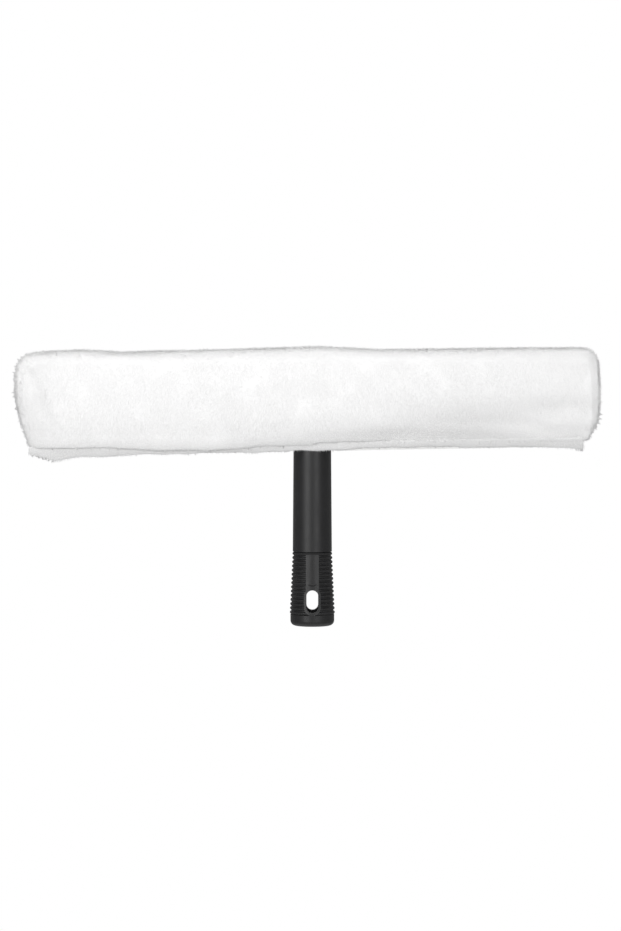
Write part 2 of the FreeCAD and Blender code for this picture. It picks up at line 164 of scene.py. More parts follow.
# %% World
world = bpy.data.worlds.new("white_room")
world.use_nodes = True
scene.world = world
net = world.node_tree
net.nodes.clear()
ray = add_node(net, "ShaderNodeLightPath")
seen = combine(net, "MAXIMUM", ray.outputs["Is Camera Ray"], ray.outputs["Is Transmission Ray"])
light = add_node(net, "ShaderNodeBackground", {"Color": (0.985, 0.99, 1.0, 1), "Strength": 0.33})
grey = add_node(net, "ShaderNodeBackground", {"Color": (1, 1, 1, 1), "Strength": 0.3})
white = add_node(net, "ShaderNodeBackground", {"Color": (1, 1, 1, 1), "Strength": 1.0})
room = add_node(net, "ShaderNodeMixShader", {
    0: ray.outputs["Is Glossy Ray"], 1: light.outputs[0], 2: grey.outputs[0]})
room = add_node(net, "ShaderNodeMixShader", {0: seen, 1: room.outputs[0], 2: white.outputs[0]})
add_node(net, "ShaderNodeOutputWorld", {"Surface": room.outputs[0]})
print("world:", world.name)


# %% Floor
def new_piece(name, bm):
    """The bmesh as an object at the origin."""
    mesh = bpy.data.meshes.new(name)
    bm.to_mesh(mesh)
    bm.free()
    piece = bpy.data.objects.new(name, mesh)
    scene.collection.objects.link(piece)
    return piece


FLOOR_LEVEL = -0.6
FLOOR_REACH = 1.15

bm = bmesh.new()
bmesh.ops.create_circle(bm, cap_ends=True, segments=96, radius=FLOOR_REACH)
bmesh.ops.translate(bm, verts=bm.verts, vec=(0, 0, FLOOR_LEVEL))
floor = new_piece("studio_floor", bm)

floor_paint = bpy.data.materials.new("floor_paint")
floor_paint.use_nodes = True
net = floor_paint.node_tree
net.nodes.clear()
place = add_node(net, "ShaderNodeTexCoord").outputs["Object"]
reach = add_node(net, "ShaderNodeVectorMath", {0: place}, operation="LENGTH")
fade = stretch(net, reach.outputs["Value"], 0.75, 1.25, interpolation_type="SMOOTHSTEP")
paint = blend(net, speckle(net, place, 30.0), (0.90, 0.90, 0.90, 1), (0.93, 0.93, 0.93, 1))
matt = add_node(net, "ShaderNodeBsdfPrincipled", {"Base Color": paint, "Roughness": 0.9})
gone = add_node(net, "ShaderNodeBsdfTransparent")
edge = add_node(net, "ShaderNodeMixShader", {0: fade, 1: matt.outputs[0], 2: gone.outputs[0]})
add_node(net, "ShaderNodeOutputMaterial", {"Surface": edge.outputs[0]})
floor.data.materials.append(floor_paint)

# %% [markdown]
# ## Soft lamps
# In the photograph the sleeve is brightest at the left and falls off towards the lower right, and the handle
# has two soft highlights, a strong one left of its middle and a weaker one right of it. So two large lamps
# stand beside the camera. Where a highlight lies on a round tube gives its lamp's direction: twice the angle
# of the tube's face there. Weak lamps at both ends, above and behind keep the shadows open.


# %% Lamps
LAMP_AIM = Vector((0, 0, 0.15))


def soft_lamp(name, place, wide, watts, mirrored=False):
    """A square area lamp that looks at the tool. Only a mirrored one shows as a highlight."""
    data = bpy.data.lights.new(name, "AREA")
    data.shape = "SQUARE"
    data.size = wide
    data.energy = watts
    lamp = bpy.data.objects.new(name, data)
    lamp.location = place
    lamp.rotation_euler = (LAMP_AIM - Vector(place)).to_track_quat("-Z", "Y").to_euler()
    lamp.visible_glossy = mirrored
    scene.collection.objects.link(lamp)


soft_lamp("key_lamp", (-0.97, -1.65, 0.4), 1.0, 15.2, mirrored=True)
soft_lamp("fill_lamp", (0.85, -1.8, 0.35), 0.9, 9.2, mirrored=True)
soft_lamp("left_lamp", (-1.9, -0.5, 0.45), 1.0, 5)
soft_lamp("right_lamp", (1.9, -0.35, 0.45), 1.0, 8)
soft_lamp("top_lamp", (0.0, -0.7, 1.9), 1.2, 9.5)
soft_lamp("back_lamp", (0.2, 1.7, 1.2), 1.0, 24)

# %% [markdown]
# ## Black plastic
# The handle and the crossbar are moulded in black plastic with a satin face: a fine spark-eroded grain, a
# shine that is a little uneven, and paler rubbed edges where hands and poles touch. The frame's own pieces
# have the right shape, so they only get this finish. The rubbed edges come from a Bevel node, whose rounded
# normal differs from the true one only near an edge.


# %% Black plastic
def finish(name):
    """An empty node material, its net, its Object coordinates, and its shader."""
    made = bpy.data.materials.new(name)
    made.use_nodes = True
    net = made.node_tree
    net.nodes.clear()
    shader = add_node(net, "ShaderNodeBsdfPrincipled")
    add_node(net, "ShaderNodeOutputMaterial", {"Surface": shader.outputs[0]})
    return made, net, add_node(net, "ShaderNodeTexCoord").outputs["Object"], shader


def dress(node, made):
    """Gives one of the frame's own pieces its finish."""
    frame["nodes"][node].data.materials.clear()
    frame["nodes"][node].data.materials.append(made)


black_plastic, net, where, shader = finish("satin_black_plastic")
swirl = speckle(net, where, 55.0, 5.0, 0.6)
soft_edge = add_node(net, "ShaderNodeBevel", {"Radius": 0.6 * MM}, samples=4)
flat_face = add_node(net, "ShaderNodeNewGeometry")
alike = add_node(net, "ShaderNodeVectorMath", {0: soft_edge.outputs[0], 1: flat_face.outputs["Normal"]},
                 operation="DOT_PRODUCT")
rubbed = stretch(net, alike.outputs["Value"], 0.98, 0.86)
wear = combine(net, "MULTIPLY", rubbed, stretch(net, swirl, 0.42, 0.72))
tint = blend(net, swirl, (0.006, 0.006, 0.0065, 1), (0.012, 0.012, 0.0128, 1))
feed(net, shader, {
    "Base Color": blend(net, wear, tint, (0.05, 0.05, 0.052, 1)),
    "Roughness": stretch(net, swirl, 0.3, 0.7, 0.38, 0.48),
    "Normal": relief(net, speckle(net, where, 2600.0), 0.25, 0.06),
    "Specular IOR Level": 0.46})
for node in ("handle", "crossbar"):
    dress(node, black_plastic)
print("finish:", black_plastic.name)

# %% [markdown]
# ## Rivet steel
# Two rivets pin the crossbar into the handle's fork. Their heads were pressed, so the steel has a fine grain
# and a soft, slightly uneven shine.

# %% Rivet steel
rivet_steel, net, where, shader = finish("pressed_rivet_steel")
streak = speckle(net, where, 900.0, 3.0)
feed(net, shader, {
    "Base Color": blend(net, streak, (0.42, 0.42, 0.43, 1), (0.62, 0.62, 0.63, 1)),
    "Roughness": stretch(net, streak, 0.0, 1.0, 0.22, 0.42),
    "Normal": relief(net, streak, 0.2, 0.05),
    "Metallic": 1.0})
dress("bar_rivets", rivet_steel)
print("finish:", rivet_steel.name)

# %% [markdown]
# ## The sleeve's skin
# The sleeve is a padded bag of knitted cloth whose outside carries the pile. The frame's solid has its main
# form already: the crowned sides, the rolling top edge and the round ends. It is copied, its loose triangles
# are joined, and a voxel remesh gives it even squares that cloth can bend along.


# %% Skin mesh
def settle(piece):
    """The piece's mesh becomes what its modifiers make of it."""
    graph = bpy.context.evaluated_depsgraph_get()
    made = bpy.data.meshes.new_from_object(piece.evaluated_get(graph))
    piece.modifiers.clear()
    piece.data = made


def points_of(mesh, what="co"):
    """The mesh's points, or their normals, as rows of millimetres or plain numbers."""
    values = np.zeros(len(mesh.vertices) * 3)
    mesh.vertices.foreach_get(what, values)
    return values.reshape(-1, 3) / (MM if what == "co" else 1)


def set_points(mesh, rows):
    """Puts points in millimetres back into the mesh."""
    mesh.vertices.foreach_set("co", (rows * MM).ravel())
    mesh.update()


bm = bmesh.new()
bm.from_mesh(frame["nodes"]["fleece_cover"].data)
bmesh.ops.remove_doubles(bm, verts=bm.verts, dist=0.01 * MM)
skin = new_piece("fleece_skin", bm)
even = skin.modifiers.new("even_squares", "REMESH")
even.mode = "VOXEL"
even.voxel_size = 4 * MM
settle(skin)
print("skin:", len(skin.data.vertices), "points")


# %% Which points are the pocket
FOLD_HEIGHT = 140
FOLD_TILT = math.radians(1)
SKIN_INSET = 1.9


def ramp(value, start, end):
    """0 at start and 1 at end, smooth between."""
    t = np.clip((value - start) / (end - start), 0, 1)
    return t * t * (3 - 2 * t)


def crease_height(x):
    """The height in mm of the fold that the sleeve's mouth lies on. It rises one degree to the right."""
    return FOLD_HEIGHT + x * math.tan(FOLD_TILT)


def write_attribute(mesh, name, kind, values):
    """Writes one value or vector for each point of the mesh."""
    layer = mesh.attributes.get(name) or mesh.attributes.new(name, kind, "POINT")
    field = "vector" if kind == "FLOAT_VECTOR" else "value"
    layer.data.foreach_set(field, np.asarray(values, float).ravel())


def read_attribute(mesh, name):
    """One value for each point of the mesh."""
    values = np.zeros(len(mesh.vertices))
    mesh.attributes[name].data.foreach_get("value", values)
    return values


# The long walls leave the remesh with small steps, so they are smoothed before anything is measured.
walls = skin.vertex_groups.new(name="walls")
start = points_of(skin.data)
flat = (np.abs(start[:, 0]) < 214) & (np.abs(start[:, 1]) > 15.4) & (np.abs(start[:, 2] - 174) < 28)
walls.add([int(i) for i in np.flatnonzero(flat)], 1.0, "REPLACE")
calm = skin.modifiers.new("calm_walls", "SMOOTH")
calm.vertex_group, calm.iterations = walls.name, 25
settle(skin)
skin.vertex_groups.clear()

# A point is in the pocket if it lies in the bar's room and doesn't look outwards from the thin wall.
start = points_of(skin.data)
normals = points_of(skin.data, "normal")
inside = (np.abs(start[:, 0]) < 210) & (np.abs(start[:, 1]) < 17) & (start[:, 2] < 208.5)
outer_face = (np.abs(start[:, 1]) > 15.6) & (normals[:, 1] * np.sign(start[:, 1]) > 0.3)
inside = (inside & ~outer_face).astype(float)
write_attribute(skin.data, "pocket", "FLOAT", inside)
rim = 1 - ramp(start[:, 2] - crease_height(start[:, 0]), 1, 7)
held = np.maximum(inside, rim)
set_points(skin.data, start - normals * (SKIN_INSET * (1 - held))[:, None])
print("pocket points:", int(inside.sum()))

# %% [markdown]
# ## Puffing the skin up
# Now the padding is pressed into the skin with a short cloth simulation: the pocket and the mouth are held,
# a gentle pressure swells the outside, and no point may move more than a millimetre and a half. Each move is
# then shared with the points beside it, so that no step is left. The skin was made a little smaller first, so
# that it ends up where the real cloth lies, under the pile.

# %% Cloth
PUFF_PRESSURE = 4.0
PUFF_CAP = 1.5
PUFF_FRAMES = 20
SHARE_ROUNDS = 10


def puff_up(piece, pinned):
    """Swells the piece by cloth pressure. Pinned points are held, and none sinks or moves past the cap."""
    group = piece.vertex_groups.new(name="held")
    for level in np.unique(np.round(pinned, 2)):
        rows = np.flatnonzero(np.round(pinned, 2) == level)
        group.add([int(i) for i in rows], float(level), "REPLACE")
    before, facing = points_of(piece.data), points_of(piece.data, "normal")
    cloth = piece.modifiers.new("puff", "CLOTH")
    cloth.settings.use_pressure = True
    cloth.settings.uniform_pressure_force = PUFF_PRESSURE
    cloth.settings.effector_weights.gravity = 0
    cloth.settings.vertex_group_mass = group.name
    cloth.settings.mass = 0.3
    cloth.collision_settings.use_collision = False
    cloth.point_cache.frame_end = PUFF_FRAMES
    for number in range(1, PUFF_FRAMES + 1):
        scene.frame_set(number)
    settle(piece)
    moved = points_of(piece.data) - before
    moved -= facing * np.minimum(0, np.sum(moved * facing, axis=1))[:, None]
    far = np.linalg.norm(moved, axis=1)
    moved *= np.minimum(1, PUFF_CAP / np.maximum(far, 1e-6))[:, None]
    ends = np.array([e.vertices for e in piece.data.edges])
    ends = np.concatenate([ends, ends[:, ::-1]])
    beside = np.bincount(ends[:, 0], minlength=len(moved))[:, None]
    for _ in range(SHARE_ROUNDS):
        near = np.zeros_like(moved)
        np.add.at(near, ends[:, 0], moved[ends[:, 1]])
        moved = 0.5 * (moved + near / beside)
    set_points(piece.data, before + moved)
    piece.vertex_groups.clear()
    return far


far = puff_up(skin, held)
print("cloth moved up to", round(float(far.max()), 1), "mm, kept to", PUFF_CAP)

# %% [markdown]
# ## Pulls and sags
# A worn sleeve has finer pulls than the solid's: the lower right half of the front is drawn in between two
# soft rolls, a slanted dent shows where the cloth wraps the bar's left end, and the front's lower edge curls
# under at the fold. These are sculpted as smooth moves: each is a hill or a ramp over the cloth. The places,
# the widths and the moves are all in millimetres.


# %% Sculpted moves
def hill(value, middle, width):
    """A smooth hill of height 1."""
    return np.exp(-(((value - middle) / width) ** 2))


def slant_of(x, z):
    """How far a point lies from the slanted line at the bar's left end, in mm."""
    return np.abs((x + 206.5) + (z - 172) * 0.457)


p = points_of(skin.data)
n = points_of(skin.data, "normal")
outside = 1 - read_attribute(skin.data, "pocket")
x, z, above = p[:, 0], p[:, 2], p[:, 2] - crease_height(p[:, 0])
front = outside * ramp(-n[:, 1], 0.2, 0.8)
back = outside * ramp(n[:, 1], 0.2, 0.8)

# Pulls and rolls on the front, and soft waves on the back.
drawn_in = 3.2 * ramp(x, 25, 120) * ramp(-x, -212, -182) * ramp(-z, -178, -152)
swell = 2.6 * hill(x, 190, 22) * hill(z, 153, 9) - 1.6 * hill(x, 184, 22) * hill(z, 169, 5)
dent = 1.7 * hill(slant_of(x, z), 0, 6) * hill(z, 172, 22)
rolls = 0.5 * np.sin(x / 31 + 0.7) * hill(z, 178, 30)
p[:, 1] += front * (drawn_in - swell + dent + rolls)
p[:, 1] += back * (0.9 * np.sin(x / 37 + 1.9) + 0.6 * np.sin(x / 19 - z / 26))

# The ends turn back and in, and the front wall keeps clear of the bar.
p[:, 1] += front * (1.8 * ramp(-x, 186, 224) + 2.0 * ramp(x, 180, 222))
p[:, 0] += outside * (1.6 * ramp(-x, 205, 220) - 1.4 * ramp(x, 205, 216))
thin = (outside > 0.5) & (start[:, 1] < -15.6) & (z < 204) & (np.abs(x) < 208)
p[thin, 1] = np.minimum(p[thin, 1], -16.8)

# The lower edge sags over the fold, most left of the handle, and the lower right corner is drawn in.
low_front = outside * ramp(-p[:, 1], 15.2, 16.5)
sag_x = (-216, -148, -120, -106, -75, -55, -40, 0, 206)
sag = np.interp(x, sag_x, (3.0, 3.4, 5.0, 5.6, 5.6, 3.6, 2.6, 2.6, 3.0))
sag += 0.35 * np.sin(x / 11.0 + 0.6) + 0.25 * np.sin(x / 4.9)
p[:, 1] += low_front * (0.7 * ramp(-above, -11, 0) - 0.28 * sag * ramp(-above, -8, 0))
p[:, 2] -= low_front * sag * ramp(-above, -13, 0)
p[:, 0] -= outside * 9.0 * ramp(x, 208, 221) * ramp(-z, -158, -139)
set_points(skin.data, p)
smooth = skin.modifiers.new("round_squares", "SUBSURF")
smooth.levels = smooth.render_levels = 1
settle(skin)
print("skin after sculpting:", len(skin.data.polygons), "faces")

# %% [markdown]
# ## Knitted backing
# Inside the pocket there is no pile: the cloth shows its knitted back, small columns of loops in off-white
# yarn. Two waves across each other give the loops, and a noise keeps the yarn from looking printed.

# %% Knitted backing
knit_back, net, where, shader = finish("knitted_backing")
columns = waves(net, where, 210.0, "X", 1.5, 1.0)
courses = waves(net, where, 260.0, "Z", 1.5, 1.0)
loops = combine(net, "MULTIPLY", columns, courses)
yarn = blend(net, loops, (0.62, 0.61, 0.58, 1), (0.82, 0.81, 0.78, 1))
fuzz = speckle(net, where, 120.0, 6.0, 0.65)
feed(net, shader, {
    "Base Color": blend(net, fuzz, yarn, (0.80, 0.79, 0.76, 1)),
    "Normal": relief(net, loops, 0.6, 0.5),
    "Roughness": 0.92,
    "Sheen Weight": 0.2})
print("finish:", knit_back.name)

# %% [markdown]
# ## Fleece white
# The pile is bleached polyester: almost white, with a soft sheen. A painted shade makes it a trace darker
# towards the roots, between the tufts. The skin under it takes the same white, so that no gap between tufts
# shows a different colour. The tufts carry a small map that runs from root to tip, and the material reads
# that. Where the cloth turns from the light, at the fold, the edges and the drawn-in lower right, a painted
# shade greys the white: how much is written on the cloth as an attribute.


# %% Fleece white
def fleece_finish(name, by_tuft):
    """The fleece's white under painted shade. by_tuft also paints a shade on each tuft's root."""
    made, net, where, shader = finish(name)
    tone = blend(net, speckle(net, where, 42.0, 4.0), (0.895, 0.893, 0.890, 1), (0.930, 0.929, 0.928, 1))
    speck_and_shade = stretch(net, speckle(net, where, 620.0), 0.35, 0.65, 0.965, 1.0)
    # The painted-shade attribute greys the white where the cloth turns from the light.
    painted_shade = add_node(net, "ShaderNodeAttribute", attribute_name="painted_shade")
    speck_and_shade = combine(net, "MULTIPLY", speck_and_shade, painted_shade.outputs["Fac"])
    tone = add_node(net, "ShaderNodeVectorMath", {0: tone, "Scale": speck_and_shade}, operation="SCALE")
    colour = tone.outputs[0]
    if by_tuft:
        # Painted shade: each tuft is greyer at its root than at its tip.
        along = add_node(net, "ShaderNodeUVMap", uv_map="along_tuft")
        rise = add_node(net, "ShaderNodeSeparateXYZ", {0: along.outputs[0]})
        tip = stretch(net, rise.outputs[1], 0.0, 0.6)
        colour = blend(net, tip, (0.89, 0.888, 0.885, 1), colour)
    feed(net, shader, {"Base Color": colour, "Roughness": 0.95, "Sheen Weight": 0.15,
                       "Sheen Roughness": 0.6, "Specular IOR Level": 0.2})
    return made


fleece_ground = fleece_finish("fleece_ground", False)
fleece_pile = fleece_finish("fleece_pile", True)

# Painted shade, darkest at the fold: on the drawn-in lower right and the dent at the bar's left end,
# and along the left end, the top edge and towards the right end, where the cloth turns from the light.
p = points_of(skin.data)
x, z = p[:, 0], p[:, 2]
painted_patch_shade = 0.10 * hill(x, 118, 42) * hill(z, 153, 13) + 0.07 * hill(x, 184, 24) * hill(z, 167, 6)
painted_patch_shade += 0.05 * hill(x, 60, 60) * hill(z, 148, 9) + 0.03 * hill(slant_of(x, z), 0, 6) * hill(z, 172, 20)
fold = np.interp(x, (-216, -148, -106, -75, -48, -13, 10, 52, 100, 140, 176, 206),
                 (136, 137.5, 136.5, 136.5, 140.5, 142, 143.5, 147, 147, 145, 142, 142))
edges = 0.08 * ramp(-x, 180, 230) + 0.03 * ramp(fold - z, -20, -8) + 0.15 * ramp(fold - z, -9, 0)
edges += 0.05 * hill(z, 208.5, 3) + 0.03 * ramp(x, 40, 150)
write_attribute(skin.data, "painted_shade", "FLOAT", 1 - painted_patch_shade - edges)
skin.data.materials.append(fleece_ground)
skin.data.materials.append(knit_back)
inside = read_attribute(skin.data, "pocket")
for face in skin.data.polygons:
    face.material_index = int(min(inside[v] for v in face.vertices) > 0.5)
    face.use_smooth = True
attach(skin, "sleeve")
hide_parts("fleece_cover")
print("finishes:", fleece_ground.name, fleece_pile.name)

# %% [markdown]
# ## One tuft
# Seen close, the pile is a coat of fine pointed tufts that lie over each other. A hair system would look
# right in one render and be lost in the exported model, so the tufts are real: a slim three-sided cone of
# three triangles, its tip bent over. A few bends are enough, because each copy is turned and stretched.


# %% Tuft
TUFT_ROOT = 0.45
TUFT_TALL = 2.4
TUFT_BENDS = (0.2, 0.45, 0.65, 0.35)


def tuft(name, root, tall, bend):
    """A slim cone in millimetres, with a map of three strips that run from the root to the tip."""
    bm = bmesh.new()
    bmesh.ops.create_cone(bm, segments=3, radius1=root * MM, radius2=0, depth=tall * MM)
    bmesh.ops.remove_doubles(bm, verts=bm.verts, dist=1e-7)
    bmesh.ops.translate(bm, verts=bm.verts, vec=(0, 0, 0.5 * tall * MM))
    uv = bm.loops.layers.uv.new("along_tuft")
    for strip, face in enumerate(bm.faces):
        across = 0
        for loop in face.loops:
            at_tip = loop.vert.co.z > 0.5 * tall * MM
            loop[uv].uv = ((strip + (0.5 if at_tip else across)) / 3, float(at_tip))
            across += not at_tip
    for v in bm.verts:
        if v.co.z > 0.5 * tall * MM:
            v.co += Vector((bend * MM, 0, -0.3 * bend * MM))
    mesh = bpy.data.meshes.new(name)
    bm.to_mesh(mesh)
    bm.free()
    mesh.polygons.foreach_set("use_smooth", [True] * len(mesh.polygons))
    return bpy.data.objects.new(name, mesh)


tufts = bpy.data.collections.new("tufts")
for number, bend in enumerate(TUFT_BENDS):
    tufts.objects.link(tuft(f"tuft_{number}", TUFT_ROOT, TUFT_TALL, bend))
tuft_faces = len(tufts.objects[0].data.polygons)
tuft_corners = len(tufts.objects[0].data.loops)
print("faces in a tuft:", tuft_faces)

# %% [markdown]
# ## Sowing the pile
# The tufts are sown over the skin with Geometry Nodes: points are spread with an even spacing, each gets a
# tuft that leans with the lay of the pile, and the result is turned into plain mesh. Where the pile stands
# up, lies flat or grows long is written on the skin first, as attributes, the way one would paint weights.


# %% Pile nodes
def drawn(tree, kind, low, high, seed):
    """A value that is drawn anew for each tuft. Each kind has its own sockets on the node."""
    first = {"FLOAT_VECTOR": 0, "FLOAT": 2, "INT": 4}[kind]
    feeds = {first: low, first + 1: high, "Seed": seed}
    return add_node(tree, "FunctionNodeRandomValue", feeds, data_type=kind).outputs[first // 2]


def written(tree, name, kind="FLOAT"):
    """An attribute that was written on the skin."""
    return add_node(tree, "GeometryNodeInputNamedAttribute", {"Name": name}, data_type=kind).outputs[0]


def pile_net(spacing, seed, side, thick):
    """Geometry Nodes that sow tufts. side keeps one quarter: the signs of x and y, or 0 for both."""
    net = bpy.data.node_groups.new("sow_pile", "GeometryNodeTree")
    net.interface.new_socket("Geometry", in_out="INPUT", socket_type="NodeSocketGeometry")
    net.interface.new_socket("Geometry", in_out="OUTPUT", socket_type="NodeSocketGeometry")
    ground = add_node(net, "NodeGroupInput")
    sown = add_node(net, "GeometryNodeDistributePointsOnFaces", {
        "Mesh": ground.outputs[0], "Distance Min": spacing * MM, "Density Max": 4.0e6,
        "Density Factor": written(net, "pile_share"), "Seed": seed}, distribute_method="POISSON")

    # Each tuft stands on the skin, leans with the lay, strays a little and is twisted.
    spread = drawn(net, "FLOAT_VECTOR", (-0.4,) * 3, (0.4,) * 3, seed + 1)
    lean = sown.outputs["Normal"]
    for push in (written(net, "pile_lay", "FLOAT_VECTOR"), spread):
        lean = add_node(net, "ShaderNodeVectorMath", {0: lean, 1: push}, operation="ADD").outputs[0]
    stand = add_node(net, "FunctionNodeAlignRotationToVector", {"Vector": lean}, axis="Z")
    angle = drawn(net, "FLOAT", 0.0, math.tau, seed + 2)
    twist = add_node(net, "FunctionNodeAxisAngleToRotation", {"Axis": (0, 0, 1), "Angle": angle})
    turned = add_node(net, "FunctionNodeRotateRotation", {0: stand.outputs[0], 1: twist.outputs[0]},
                      rotation_space="LOCAL")

    # Its width and height vary, and one of the tuft shapes is picked.
    wide = drawn(net, "FLOAT", 0.75 * thick, 1.3 * thick, seed + 3)
    high = combine(net, "MULTIPLY", drawn(net, "FLOAT", 0.7, 1.2, seed + 4), written(net, "pile_tall"))
    size = add_node(net, "ShaderNodeCombineXYZ", {0: wide, 1: wide, 2: high})
    kind = drawn(net, "INT", 0, len(tufts.objects) - 1, seed + 5)
    shapes = add_node(net, "GeometryNodeCollectionInfo", {
        "Collection": tufts, "Separate Children": True, "Reset Children": True})

    # Only points on the wanted side are planted.
    spot = add_node(net, "ShaderNodeSeparateXYZ", {0: add_node(net, "GeometryNodeInputPosition").outputs[0]})
    right = combine(net, "MULTIPLY", spot.outputs[0], side[0])
    rear = combine(net, "MULTIPLY", spot.outputs[1], side[1])
    least = combine(net, "MINIMUM", right, rear)
    mine = add_node(net, "FunctionNodeCompare", {0: least, 1: 0.0}, operation="GREATER_EQUAL")
    planted = add_node(net, "GeometryNodeInstanceOnPoints", {
        "Points": sown.outputs["Points"], "Selection": mine.outputs[0], "Instance": shapes.outputs[0],
        "Pick Instance": True, "Instance Index": kind, "Rotation": turned.outputs[0],
        "Scale": size.outputs[0]})
    plain = add_node(net, "GeometryNodeRealizeInstances", {0: planted.outputs[0]})
    add_node(net, "NodeGroupOutput", {0: plain.outputs[0]})
    return net


# %% [markdown]
# A cone has its own shading, and tens of thousands of them would glitter. Real pile is so fine that light
# soaks through it and it shades like the soft surface it covers. So each tuft borrows most of its normals
# from the skin below, and the tufts throw no shadows on each other: the skin throws them. Each tuft also gets
# its own small square of a second map, which the export needs to keep its colours.


# %% Sow
BORROWED = 0.75
SWIRL_SIZE = 15
SWIRL_SEED = 1795885813

# Without a seed the noise starts from the clock, and the pile would lie differently each run.
noise.seed_set(SWIRL_SEED)


def sow(ground, name, spacing, seed, side=(0, 0), thick=1.0):
    """A pile piece on the ground piece, as plain mesh, with a map that has a square for each tuft."""
    piece = bpy.data.objects.new(name, ground.data)
    scene.collection.objects.link(piece)
    piece.modifiers.new("sow", "NODES").node_group = pile_net(spacing, seed, side, thick)
    settle(piece)
    shade = piece.modifiers.new("shade_like_ground", "DATA_TRANSFER")
    shade.object = ground
    shade.use_loop_data = True
    shade.data_types_loops = {"CUSTOM_NORMAL"}
    shade.loop_mapping = "POLYINTERP_NEAREST"
    shade.mix_factor = BORROWED
    settle(piece)
    mesh = piece.data
    count = len(mesh.polygons) // tuft_faces
    own = np.zeros(len(mesh.loops) * 2)
    mesh.uv_layers["along_tuft"].data.foreach_get("uv", own)
    own = own.reshape(count, tuft_corners, 2)
    row = math.ceil(math.sqrt(count))
    square = np.stack([np.arange(count) % row, np.arange(count) // row], axis=1)[:, None, :]
    spread = mesh.uv_layers.new(name="OFBake")
    spread.data.foreach_set("uv", ((square + 0.1 + 0.8 * own) / row).ravel())
    mesh.materials.clear()
    mesh.materials.append(fleece_pile)
    piece.visible_shadow = False
    print(name, count, "tufts")
    return piece


def comb(mesh, share, tall, lay, patch):
    """Writes how the pile grows: its share and height at each point, and its lay, swirled by patch."""
    p, n = points_of(mesh), points_of(mesh, "normal")
    swirls = np.array([noise.noise_vector(Vector(q) / SWIRL_SIZE) for q in p])
    lay = lay + patch * swirls
    lay -= n * np.sum(lay * n, axis=1)[:, None]
    write_attribute(mesh, "pile_share", "FLOAT", share)
    write_attribute(mesh, "pile_tall", "FLOAT", tall)
    write_attribute(mesh, "pile_lay", "FLOAT_VECTOR", lay)


# %% Pile on the sleeve
p = points_of(skin.data)
x, z = p[:, 0], p[:, 2]
ends = np.maximum(ramp(-x, 206, 222), ramp(x, 203, 216))
top = ramp(z, 203, 212) * (1 - ends)
lay = np.zeros_like(p)
lay[:, 2] = -1.0 * (1 - 0.5 * ends)
lay[:, 1] = top * np.clip(p[:, 1] / 8, -1, 1)
lay[:, 0] = top * 0.6 * np.sin(x / 41 + 0.4) - ends * 0.5 * np.sign(x)
above = z - crease_height(x)
curl = ramp(-above, -3.0, 1.0) * ramp(-p[:, 1], 15, 17) * (1 - ends)
under = ramp(-points_of(skin.data, "normal")[:, 2], 0.45, 0.8) * ramp(-above, -4, -2)
hinge_side = (p[:, 1] > 0) & (np.abs(x) < 207)
bare = under + hinge_side * (1 - ramp(above, 2.5, 4.5))
comb(skin.data, (1 - inside) * (1 - np.minimum(bare, 1)), 1.0 + 0.15 * ends + 0.3 * curl, lay, 1.0)
for name, side in (("pile_front_left", (-1, -1)), ("pile_front_right", (1, -1)),
                   ("pile_back_left", (-1, 1)), ("pile_back_right", (1, 1))):
    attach(sow(skin, name, 0.9, 11, side), "sleeve")

# %% [markdown]
# At the two ends the cut cloth was turned and sewn, and there the pile stands out in small pointed locks. A
# few short ones ruffle the top edge. They are the same tufts, thicker and far apart, and they lean outwards:
# up near the top and down below it.

# %% Locks at the ends
out = np.stack([np.sign(x) * 0.9, 0 * x, -0.5 + 1.2 * ramp(z, 190, 208)], axis=1)
ragged = np.maximum(ramp(-x, 214 - 8 * ramp(z, 188, 200), 226 - 8 * ramp(z, 188, 200)),
                    ramp(x, 209, 217) * (0.15 + 0.85 * ramp(-z, -172, -152)))
ragged *= 0.35 + 0.65 * ramp(np.abs(z - 172), 8, 24)
ridge = ramp(z, 203, 208) * (1 - ends)
comb(skin.data, np.maximum(ragged, 0.3 * ridge) * (above > 0.5), 1.6 - 0.65 * ridge, out, 1.4)
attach(sow(skin, "end_locks", 2.6, 23, thick=2.8), "sleeve")

# %% [markdown]
# ## The front hem
# Below the fold, a narrow band of the front cloth hangs in front of the handle. It is the turned-under edge
# that the closing flaps stick to. A strip with rounded edges is cut across many times, and then its lower
# edge follows the real one: deepest at the two corner tips, shallow right of the handle, and puckered
# towards the right end. Its upper edge is tucked up into the cloth, so that the fold shows no gap.

# %% Hem band
ON_FOLD = Matrix.Translation((0, 0, FOLD_HEIGHT * MM)) @ Matrix.Rotation(-FOLD_TILT, 4, "Y")
HEM_HIGH = 7.2
HEM_TUCK = 1.2
ORDER = Vector((1.0, 0.272, 0.618))


def in_order(bm):
    """Puts points, edges and faces in the same order each run, which the mesh operators don't."""
    bm.verts.sort(key=lambda v: v.co.dot(ORDER))
    bm.edges.sort(key=lambda e: (e.verts[0].co + e.verts[1].co).dot(ORDER))
    bm.faces.sort(key=lambda f: f.calc_center_median().dot(ORDER))


def strip(name, low, high, rounding, cuts):
    """A bar between two corners in mm, its edges rounded, cut across many times along x."""
    low, high = Vector(low) * MM, Vector(high) * MM
    bm = bmesh.new()
    bmesh.ops.create_cube(bm, size=1)
    bmesh.ops.scale(bm, verts=bm.verts, vec=high - low)
    bmesh.ops.translate(bm, verts=bm.verts, vec=(low + high) / 2)
    bmesh.ops.bevel(bm, geom=list(bm.edges), offset=rounding * MM, segments=3, profile=0.5, affect="EDGES",
                    material=-1)
    along = [e for e in bm.edges if abs(e.verts[0].co.x - e.verts[1].co.x) > 0.5 * (high.x - low.x)]
    bmesh.ops.subdivide_edges(bm, edges=along, cuts=cuts, use_grid_fill=True)
    in_order(bm)
    return new_piece(name, bm)


